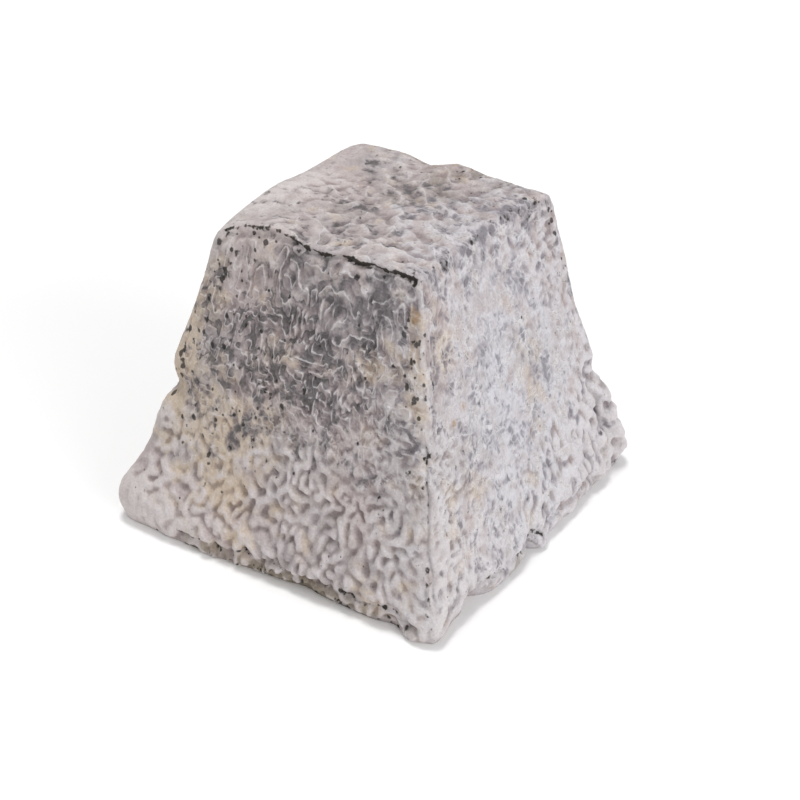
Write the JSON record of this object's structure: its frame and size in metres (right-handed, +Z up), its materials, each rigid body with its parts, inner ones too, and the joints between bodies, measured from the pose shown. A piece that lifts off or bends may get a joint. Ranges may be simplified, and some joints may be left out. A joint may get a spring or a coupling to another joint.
{
  "type": "goat cheese pyramid",
  "caption": "Whole ash-coated goat cheese as a truncated pyramid with a slumped foot and a wrinkled, mould-ripened rind.",
  "frame": {"origin": "middle of the flat base the cheese rests on", "axes": "+Z up from the base to the small top face; -Y is the darker wall seen at the left in the picture, +X the whiter wall at its right"},
  "size_m": [0.0782, 0.078, 0.0645],
  "materials": {
    "ashed_rind": "matte"
  },
  "bodies": {
    "root": {"cheese": "ashed_rind"}
  },
  "joints": []
}
